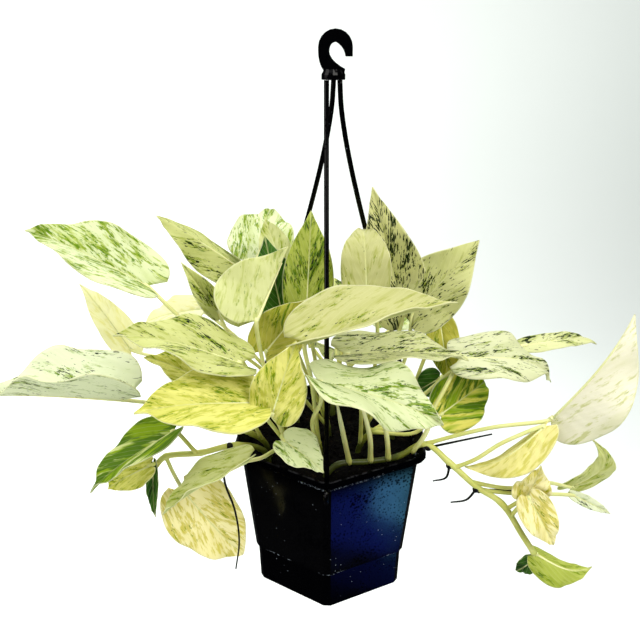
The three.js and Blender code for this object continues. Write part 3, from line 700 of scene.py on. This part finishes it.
def build_blades(name, vine, seed, materials):
    """All the blades of a vine, as one piece."""
    bm = bmesh.new()
    bm.verts.layers.float_vector.new("leaf_place")
    bm.verts.layers.float_vector.new("leaf_coat")
    bm.verts.layers.float_color.new("leaf_ground")
    bm.verts.layers.float_color.new("leaf_cloud")
    bm.verts.layers.float.new("leaf_sector")
    bm.loops.layers.uv.new("UVMap")
    for index, leaf in enumerate(vine["leaves"]):
        add_blade(bm, leaf, seed + index)
    blades = piece(name + "_blades", bm, materials, "leaf", name)
    thick = blades.modifiers.new("blade_thickness", "SOLIDIFY")
    thick.thickness = BLADE_THICK * MM
    thick.offset = 0
    thick.material_offset = 1


def build_stems(name, vine, materials):
    """A vine's stem with its stalks, sprouts and roots, as one piece."""
    stem = [Vector(p) for p in vine["stem"]]
    bm = bmesh.new()
    bm.verts.layers.float.new("tint")
    tube(bm, curve_path(stem, 10 * len(stem)), stem_radius, 10, stem_tint)
    for leaf in vine["leaves"]:
        add_stalk(bm, leaf, stem)
    for sprout in vine.get("sprouts", ()):
        tube(bm, curve_path([Vector(p) for p in sprout], 16), sprout_radius, 8, sprout_tint)
    for root in vine.get("roots", ()):
        add_root(bm, [Vector(p) for p in root])
    piece(name + "_stems", bm, materials, "leaf", name)


# Pot, soil and hanger

def hexagon_reach(angle, corner_radius):
    """How far a hexagon reaches at an angle. One corner is at -Y, and each is rounded back by 1.5%."""
    off = (angle + math.pi / 2) % (math.pi / 3) - math.pi / 6
    flat = corner_radius * math.cos(math.pi / 6) / math.cos(off)
    return min(flat, corner_radius * 0.965 + 0.02 * flat)


def crown_height(share):
    """The height of the smooth soil at a share of the way out from its middle."""
    return SOIL_EDGE_HEIGHT + SOIL_CROWN * (1 - share ** 2)


def build_soil(material):
    """Soil: one circle extruded up its wall and inwards over the crown, then strewn with crumbs."""
    rng = random.Random(7)
    bm = bmesh.new()
    shares = [1 - k / SOIL_RINGS for k in range(SOIL_RINGS)]
    profile = list(SOIL_WALL) + [(SOIL_RADIUS * share, crown_height(share)) for share in shares]
    ring = bmesh.ops.create_circle(bm, cap_ends=True, segments=SOIL_SIDES, radius=1.0)["verts"]
    for index, (radius, height) in enumerate(profile):
        if index:
            ring = next_ring(bm, ring)
        for k, vert in enumerate(ring):
            angle = 2 * math.pi * k / SOIL_SIDES
            reach = hexagon_reach(angle, radius)
            x, y = reach * math.cos(angle), reach * math.sin(angle)
            lump = 0
            if index > len(SOIL_WALL):
                # swells 9 mm wide, with lumps of 3 mm on them
                lump = 1.5 * noise.noise(Vector((x, y, 0)) / 9)
                lump += 0.8 * noise.noise(Vector((x, y, 5)) / 3.2)
            vert.co = Vector((x, y, height + lump)) * MM
    bmesh.ops.contextual_create(bm, geom=list(ring))
    bmesh.ops.recalc_face_normals(bm, faces=bm.faces)
    for _ in range(CRUMBS):
        angle, share = rng.uniform(0, 2 * math.pi), math.sqrt(rng.random())
        reach = hexagon_reach(angle, SOIL_RADIUS - 4) * share
        spot = Vector((reach * math.cos(angle), reach * math.sin(angle), crown_height(share) + 0.3))
        radius = rng.uniform(0.7, 2.4)
        turn = Matrix.Rotation(rng.uniform(0, 6.28), 4, "Z")
        lean = Matrix.Rotation(rng.uniform(0, 1.2), 4, "X")
        sides = rng.uniform(0.8, 1.9), rng.uniform(0.6, 1.1), rng.uniform(0.5, 0.9)
        stretch = Matrix.Diagonal((*sides, 1))
        place = Matrix.Translation(spot * MM) @ turn @ lean @ stretch
        bmesh.ops.create_icosphere(bm, subdivisions=1, radius=radius * MM, matrix=place)
    piece("soil_bed", bm, [material], "soil", "soil")


def strand_path(hub_angle, corner_angle):
    """The strand's line: down from the hub, out to its corner, and hooked through the lip."""
    start = towards(hub_angle, STRAND_RING, HUB_UNDERSIDE - HUB_GAP)
    inset, height = STRAND_LIP
    lip = towards(corner_angle, RIM_RADIUS - inset, height)
    below = start - Vector((0, 0, STRAND_SWING))
    swing = start.lerp(lip, STRAND_LEAN)
    points = []
    for i in range(11):
        t = i / 10
        points.append((1 - t) ** 3 * start + 3 * t * (1 - t) ** 2 * below
                      + 3 * t * t * (1 - t) * swing + t ** 3 * lip)
    points += [towards(corner_angle, RIM_RADIUS - inset, height) for inset, height in STRAND_FOOT]
    return curve_path(points, 80)


def build_strand(name, angles, material):
    """One moulded strand of the hanger."""
    bm = bmesh.new()
    bm.verts.layers.float.new("tint")
    tube(bm, strand_path(*angles), lambda share: STRAND_RADIUS, 12)
    piece(name + "_moulding", bm, [material], "plastic", name)


def dress_node(name, material, softness):
    """A CAD node whose shape is right keeps it, with softened edges."""
    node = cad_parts[name]
    node.data.materials.clear()
    node.data.materials.append(material)
    soft = node.modifiers.new("soft_edges", "BEVEL")
    soft.width = softness * MM
    soft.segments = 3
    soft.limit_method = "ANGLE"
    soft.angle_limit = math.radians(24)


# Materials

def marbling(tree, along, out, seed):
    """The marbled colour of a blade. Its marks lie along the side veins, and gather in places."""
    shares = add(tree, "Attribute", {"attribute_name": "leaf_coat"}).outputs["Vector"]
    sectors = add(tree, "Attribute", {"attribute_name": "leaf_sector"}).outputs["Fac"]
    clouds, green, dark = add(tree, "SeparateXYZ", {}, {0: shares}).outputs
    follows = {"clouds": clouds, "green": green, "dark": dark, "sectors": sectors}
    cloud_tint = add(tree, "Attribute", {"attribute_name": "leaf_cloud"}).outputs["Color"]
    darken = {"data_type": "RGBA", "blend_type": "MULTIPLY", 0: 1.0}
    green_tint = add(tree, "Mix", {**darken, 7: linear("C6D848")}, {6: cloud_tint}).outputs[2]
    deep_tint = add(tree, "Mix", {**darken, 7: linear("A8CC40")}, {6: green_tint}).outputs[2]
    tints = {"cloud": cloud_tint, "green": green_tint, "deep": deep_tint}
    slant = math.hypot(1, VEIN_LEAN)

    def marks(size, cut, octaves):
        """A noise whose marks are so many millimetres across and along the side veins."""
        across, length = size
        x = add(tree, "Math", {"operation": "DIVIDE", 1: across * slant}, {0: along}).outputs[0]
        y = add(tree, "Math", {"operation": "DIVIDE", 1: length / slant}, {0: out}).outputs[0]
        z = add(tree, "Math", {"operation": "ADD", 1: cut}, {0: seed}).outputs[0]
        cell = add(tree, "CombineXYZ", {}, {0: x, 1: y, 2: z}).outputs[0]
        settings = {"Scale": 1.0, "Detail": octaves, "Roughness": 0.6}
        return add(tree, "TexNoise", settings, {"Vector": cell}).outputs[0]

    groups = add(tree, "MapRange", {1: 0.35, 2: 0.65, 3: -0.5, 4: 0.5, "clamp": False},
                 {0: marks(*GATHERING)}).outputs[0]
    colour = add(tree, "Attribute", {"attribute_name": "leaf_ground"}).outputs["Color"]
    for tint, share, size, cut, octaves, rarest, sinks, edge, strength, gathered in LAYERS:
        level = add(tree, "Math", {"operation": "MULTIPLY_ADD", 1: -sinks, 2: rarest},
                    {0: follows[share]}).outputs[0]
        height = add(tree, "Math", {"operation": "MULTIPLY_ADD", 1: gathered},
                     {0: groups, 2: marks(size, cut, octaves)}).outputs[0]
        above = add(tree, "Math", {"operation": "SUBTRACT"}, {0: height, 1: level}).outputs[0]
        cover = add(tree, "MapRange", {1: 0.0, 2: edge, 3: 0.0, 4: strength}, {0: above}).outputs[0]
        mix = add(tree, "Mix", {"data_type": "RGBA"}, {0: cover, 6: colour})
        if tint in tints:
            tree.links.new(tints[tint], mix.inputs[7])
        else:
            mix.inputs[7].default_value = linear(tint)
        colour = mix.outputs[2]
    return colour


def leaf_coat(tree, paler):
    """The colour of a blade and the height of its surface: marbling, midrib, side veins and margin."""
    place = add(tree, "Attribute", {"attribute_name": "leaf_place"}).outputs["Vector"]
    along, out, seed = add(tree, "SeparateXYZ", {}, {0: place}).outputs
    reach = add(tree, "Math", {"operation": "ABSOLUTE"}, {0: out}).outputs[0]
    lean = add(tree, "Math", {"operation": "MULTIPLY_ADD", 1: -VEIN_LEAN},
               {0: reach, 2: along}).outputs[0]
    # the midrib is a pale line half a millimetre wide on each side, and fades over as much again
    rib = add(tree, "MapRange", {1: 0.3, 2: 0.9, 3: 0.5, 4: 0.0}, {0: reach}).outputs[0]
    turn = add(tree, "Math", {"operation": "MULTIPLY", 1: 2 * math.pi / VEIN_SPACING},
               {0: lean}).outputs[0]
    wave = add(tree, "Math", {"operation": "COSINE"}, {0: turn}).outputs[0]
    vein = add(tree, "MapRange", {1: 0.9, 2: 1.0, 3: 0.0, 4: 0.15}, {0: wave}).outputs[0]
    # the margin is a thin pale line: U runs from one margin to the other
    flat = add(tree, "UVMap", {"uv_map": "UVMap"}).outputs[0]
    across = add(tree, "SeparateXYZ", {}, {0: flat}).outputs[0]
    middle = add(tree, "Math", {"operation": "SUBTRACT", 1: 0.5}, {0: across}).outputs[0]
    middle = add(tree, "Math", {"operation": "ABSOLUTE"}, {0: middle}).outputs[0]
    margin = add(tree, "MapRange", {1: 0.482, 2: 0.494, 3: 0.0, 4: 0.6}, {0: middle}).outputs[0]
    colour = marbling(tree, lean, out, seed)
    for cover, tint in ((rib, "DCDE9E"), (vein, "E6E8BC"), (margin, "E8E8BE")):
        colour = add(tree, "Mix", {"data_type": "RGBA", 7: linear(tint)},
                     {0: cover, 6: colour}).outputs[2]
    if paler:
        colour = add(tree, "Mix", {"data_type": "RGBA", 0: 0.2, 7: linear("D8DCA8")},
                     {6: colour}).outputs[2]
    # a fine grain, and low ridges over the veins
    grain = add(tree, "TexNoise", {"Scale": 1 / LEAF_GRAIN, "Detail": 2.0}, {"Vector": place}).outputs[0]
    height = add(tree, "Math", {"operation": "MULTIPLY_ADD", 1: 0.35}, {0: wave, 2: grain}).outputs[0]
    return colour, height


def leaf_material(name, paler):
    """Living pothos leaf, a thin grown blade with a waxy skin.

    The wax gives the upper face a soft gloss. The underside has less of it and looks matt and
    paler, and light comes through both.
    """
    made, tree, output = new_material(name)
    colour, height = leaf_coat(tree, paler)
    bump = add(tree, "Bump", {"Strength": 0.3, "Distance": 0.0004}, {"Height": height})
    skin = add(tree, "BsdfPrincipled",
               {"Roughness": 0.65 if paler else 0.5, "IOR": 1.45,
                "Specular IOR Level": 0.12 if paler else 0.2},
               {"Base Color": colour, "Normal": bump.outputs[0]})
    glow = add(tree, "BsdfTranslucent", {}, {"Color": colour})
    through = add(tree, "MixShader", {0: 0.32}, {1: skin.outputs[0], 2: glow.outputs[0]})
    tree.links.new(through.outputs[0], output.inputs[0])
    return made


def stem_material():
    """Living stem, grown with a smooth juicy skin over soft flesh.

    It is pale and softly glossy where it is young, dark olive where it lies low on the soil inside the
    rim, and black on the roots. The attribute tint says which, and patches a centimetre wide vary it.
    """
    made, tree, output = new_material("living_stem")
    tint = add(tree, "Attribute", {"attribute_name": "tint"}).outputs["Fac"]
    place = add(tree, "TexCoord").outputs["Object"]
    fine = add(tree, "TexNoise", {"Scale": scale_for(STEM_GRAIN), "Detail": 4.0},
               {"Vector": place}).outputs[0]
    patch = add(tree, "TexNoise", {"Scale": scale_for(STEM_PATCH), "Detail": 3.0},
                {"Vector": place}).outputs[0]
    uneven = add(tree, "Math", {"operation": "MULTIPLY_ADD", 1: 0.3, 2: -0.15}, {0: patch}).outputs[0]
    age = add(tree, "Math", {"operation": "ADD"}, {0: tint, 1: uneven}).outputs[0]
    age = add(tree, "MapRange", {1: -1.0, 2: 1.0, 3: 0.0, 4: 1.0}, {0: age}).outputs[0]
    stops = ((0.0, "080605"), (0.28, "140F0A"), (0.38, "3A4210"), (0.5, "7F8430"), (0.66, "B9BC62"),
             (0.84, "D8DA9C"), (1.0, "ECEDC6"))
    colour = add(tree, "ValToRGB", {"stops": stops}, {0: age}).outputs[0]
    bump = add(tree, "Bump", {"Strength": 0.15, "Distance": 0.0003}, {"Height": fine})
    skin = add(tree, "BsdfPrincipled",
               {"Roughness": 0.4, "IOR": 1.45, "Specular IOR Level": 0.3, "Subsurface Weight": 0.1,
                "Subsurface Scale": 0.002},
               {"Base Color": colour, "Normal": bump.outputs[0]})
    tree.links.new(skin.outputs[0], output.inputs[0])
    return made


def paint_edge_highlights(tree, lime_and_highlight, height, broken):
    """Pale lines painted as highlights along edges of the pot, broken and each 1 to 2 mm wide, added to
    the lime specks.
    """
    for line_height in EDGE_HIGHLIGHT_HEIGHTS:
        off = add(tree, "Math", {"operation": "SUBTRACT", 1: line_height * MM}, {0: height}).outputs[0]
        off = add(tree, "Math", {"operation": "ABSOLUTE"}, {0: off}).outputs[0]
        line = add(tree, "MapRange", {1: 0.5 * MM, 2: 1.2 * MM, 3: 1.0, 4: 0.0}, {0: off}).outputs[0]
        line = add(tree, "Math", {"operation": "MULTIPLY"}, {0: line, 1: broken}).outputs[0]
        lime_and_highlight = add(tree, "Math", {"operation": "MAXIMUM"}, {0: lime_and_highlight, 1: line}).outputs[0]
    return lime_and_highlight


def plastic_material(name, of_pot):
    """Black polypropylene, injection moulded in a polished mould.

    It is near black with a clear gloss that mirrors coloured light. Dried splashes take the gloss
    away in spots, and hard water has left white specks. The pot also has pale lines painted as
    highlights under the lip and along the foot step, and handling has dulled its gloss there.
    """
    made, tree, output = new_material(name)
    place = add(tree, "TexCoord").outputs["Object"]
    patch = add(tree, "TexNoise", {"Scale": scale_for(PLASTIC_PATCH), "Detail": 3.0},
                {"Vector": place}).outputs[0]
    fine = add(tree, "TexNoise", {"Scale": scale_for(PLASTIC_GRAIN), "Detail": 3.0},
               {"Vector": place}).outputs[0]
    # lime specks in some places only, drawn half a millimetre wide so that they show
    cell = add(tree, "TexVoronoi", {"Scale": scale_for(SPECK_GAP)}, {"Vector": place}).outputs["Distance"]
    speck = add(tree, "MapRange", {1: 0.05, 2: 0.11, 3: 0.5, 4: 0.0}, {0: cell}).outputs[0]
    there = add(tree, "MapRange", {1: 0.54, 2: 0.66, 3: 0.0, 4: 1.0}, {0: patch}).outputs[0]
    lime_and_highlight = add(tree, "Math", {"operation": "MULTIPLY"}, {0: speck, 1: there}).outputs[0]
    # pale lines painted as highlights along the foot step and under the lip, broken up in places
    if of_pot:
        height = add(tree, "SeparateXYZ", {}, {0: place}).outputs[2]
        broken = add(tree, "MapRange", {1: 0.5, 2: 0.62, 3: 0.0, 4: 0.4}, {0: fine}).outputs[0]
        broken = add(tree, "Math", {"operation": "MULTIPLY"}, {0: broken, 1: there}).outputs[0]
        lime_and_highlight = paint_edge_highlights(tree, lime_and_highlight, height, broken)
    # the pale colour is both the lime specks and the painted highlights along the edges
    colour = add(tree, "Mix", {"data_type": "RGBA", 6: linear("010102"), 7: linear("A8B4C0")},
                 {0: lime_and_highlight}).outputs[2]
    drops = add(tree, "TexVoronoi", {"Scale": scale_for(SPLASH)}, {"Vector": place}).outputs["Distance"]
    drops = add(tree, "Math", {"operation": "MULTIPLY_ADD", 1: 1.1}, {0: patch, 2: drops}).outputs[0]
    gloss = add(tree, "MapRange", {1: 0.78, 2: 0.92, 3: 0.01, 4: 0.14}, {0: drops}).outputs[0]
    if of_pot:
        # the foot and the band under the lip are dull
        low = add(tree, "MapRange", {1: 26 * MM, 2: 34 * MM, 3: 0.25, 4: 1.0}, {0: height}).outputs[0]
        high = add(tree, "MapRange", {1: 90 * MM, 2: 102 * MM, 3: 1.0, 4: 0.1}, {0: height}).outputs[0]
        gloss = add(tree, "Math", {"operation": "MULTIPLY"}, {0: gloss, 1: low}).outputs[0]
        gloss = add(tree, "Math", {"operation": "MULTIPLY"}, {0: gloss, 1: high}).outputs[0]
    rough = add(tree, "MapRange", {1: 0.3, 2: 0.7, 3: 0.08, 4: 0.18}, {0: patch}).outputs[0]
    bump = add(tree, "Bump", {"Strength": 0.03, "Distance": 0.0003}, {"Height": fine})
    skin = add(tree, "BsdfPrincipled", {"IOR": 1.49},
               {"Base Color": colour, "Roughness": rough, "Specular IOR Level": gloss,
                "Normal": bump.outputs[0]})
    tree.links.new(skin.outputs[0], output.inputs[0])
    return made


def soil_material():
    """Damp potting mix of sieved peat and bark: nearly black, crumbly and without gloss."""
    made, tree, output = new_material("potting_mix")
    place = add(tree, "TexCoord").outputs["Object"]
    crumbs = add(tree, "TexVoronoi", {"Scale": scale_for(SOIL_CRUMB)}, {"Vector": place})
    patch = add(tree, "TexNoise", {"Scale": scale_for(SOIL_PATCH), "Detail": 5.0},
                {"Vector": place}).outputs[0]
    stops = ((0.35, "020101"), (0.6, "050403"), (0.78, "1A120B"))
    colour = add(tree, "ValToRGB", {"stops": stops}, {0: patch}).outputs[0]
    height = add(tree, "Math", {"operation": "ADD"}, {0: patch, 1: crumbs.outputs["Distance"]}).outputs[0]
    bump = add(tree, "Bump", {"Strength": 0.6, "Distance": 0.001}, {"Height": height})
    skin = add(tree, "BsdfPrincipled", {"Roughness": 0.95, "Specular IOR Level": 0.05},
               {"Base Color": colour, "Normal": bump.outputs[0]})
    tree.links.new(skin.outputs[0], output.inputs[0])
    return made


def wall_material():
    """White emulsion, rolled on: matt and bright where the daylight falls. It also glows with its own
    colour, and that colour is painted greyer to the right as painted shade.
    """
    made, tree, output = new_material("painted_wall")
    place = add(tree, "TexCoord").outputs["Object"]
    # painted shade: the backdrop's colour greys towards +X
    right = add(tree, "SeparateXYZ", {}, {0: place}).outputs[0]
    right = add(tree, "MapRange", {1: -WALL_SHADE_REACH, 2: WALL_SHADE_REACH, 3: 0.0, 4: 1.0},
                {0: right}).outputs[0]
    stops = ((0.0, "F6F8F7"), (0.5, "D6DAD7"), (1.0, "BABFBC"))
    colour = add(tree, "ValToRGB", {"stops": stops}, {0: right}).outputs[0]
    skin = add(tree, "BsdfPrincipled",
               {"Roughness": 0.9, "Specular IOR Level": 0.1, "Emission Strength": 0.5},
               {"Base Color": colour, "Emission Color": colour})
    tree.links.new(skin.outputs[0], output.inputs[0])
    return made


# Stage, lights and camera

def build_stage():
    """A pale sweep that runs from a floor under the pot up to a wall behind it."""
    bm = bmesh.new()
    for vert in bmesh.ops.create_grid(bm, x_segments=1, y_segments=SWEEP_STEPS, size=1.0)["verts"]:
        run = (vert.co.y + 1) / 2 * SWEEP_LENGTH
        bend = min(max(run - FLOOR_LENGTH, 0) / BEND_LENGTH, 1) * math.pi / 2
        vert.co.x *= SWEEP_HALF_WIDTH
        vert.co.y = FLOOR_START + min(run, FLOOR_LENGTH) + BEND_RADIUS * math.sin(bend)
        up = max(run - FLOOR_LENGTH - BEND_LENGTH, 0) * WALL_STRETCH
        vert.co.z = FLOOR_LEVEL + BEND_RADIUS * (1 - math.cos(bend)) + up
    for face in bm.faces:
        face.smooth = True
    mesh = bpy.data.meshes.new("pale_sweep")
    bm.to_mesh(mesh)
    bm.free()
    mesh.materials.append(wall_material())
    sweep = bpy.data.objects.new("pale_sweep", mesh)
    bpy.context.scene.collection.objects.link(sweep)
    sweep.visible_glossy = False


def add_light(name, place, aim, size, power, colour):
    """A soft panel of light that looks at a point."""
    lamp = bpy.data.lights.new(name, "AREA")
    lamp.shape = "RECTANGLE"
    lamp.size, lamp.size_y = size
    lamp.energy = power
    lamp.color = linear(colour)[:3]
    made = bpy.data.objects.new(name, lamp)
    made.location = place
    made.rotation_euler = (Vector(aim) - Vector(place)).to_track_quat("-Z", "Y").to_euler()
    bpy.context.scene.collection.objects.link(made)
    return made


def build_lights():
    """Daylight from large panels, and small panels that only the glossy pot shows."""
    world = bpy.data.worlds.new("studio_light")
    bpy.context.scene.world = world
    world.use_nodes = True
    world.node_tree.nodes["Background"].inputs[0].default_value = linear("F2F6FA")
    world.node_tree.nodes["Background"].inputs[1].default_value = WORLD_STRENGTH
    for name, settings in LIGHTS.items():
        add_light(name, *settings)
    for name, settings in PANELS.items():
        panel = add_light(name, *settings)
        panel.visible_diffuse = False
        panel.visible_transmission = False
        panel.visible_camera = False


def build_camera():
    """The camera at the photo's viewing angle."""
    lens = bpy.data.cameras.new("photo_view")
    lens.sensor_width = SENSOR_WIDTH
    lens.lens = FOCAL_PIXELS / PICTURE_PIXELS * SENSOR_WIDTH
    lens.clip_start = 0.01
    made = bpy.data.objects.new("photo_view", lens)
    made.location = CAMERA_PLACE
    made.rotation_euler = [math.radians(turn) for turn in CAMERA_TURN]
    bpy.context.scene.collection.objects.link(made)
    bpy.context.scene.camera = made


build_camera()
build_stage()
build_lights()
bpy.context.scene.view_settings.view_transform = "Standard"
pot_plastic = plastic_material("moulded_polypropylene", True)
hanger_plastic = plastic_material("moulded_strand", False)
blade_skins = [leaf_material("leaf_upper_face", False), leaf_material("leaf_underside", True)]
stem_skins = [stem_material()]
dress_node("pot", pot_plastic, POT_EDGE_SOFTNESS)
dress_node("hook", hanger_plastic, HOOK_EDGE_SOFTNESS)
for strand_name, strand_angles in STRANDS.items():
    build_strand(strand_name, strand_angles, hanger_plastic)
build_soil(soil_material())
for number, (vine_name, vine_parts) in enumerate(VINES.items()):
    build_blades(vine_name, vine_parts, 10 * number + 1, blade_skins)
    build_stems(vine_name, vine_parts, stem_skins)
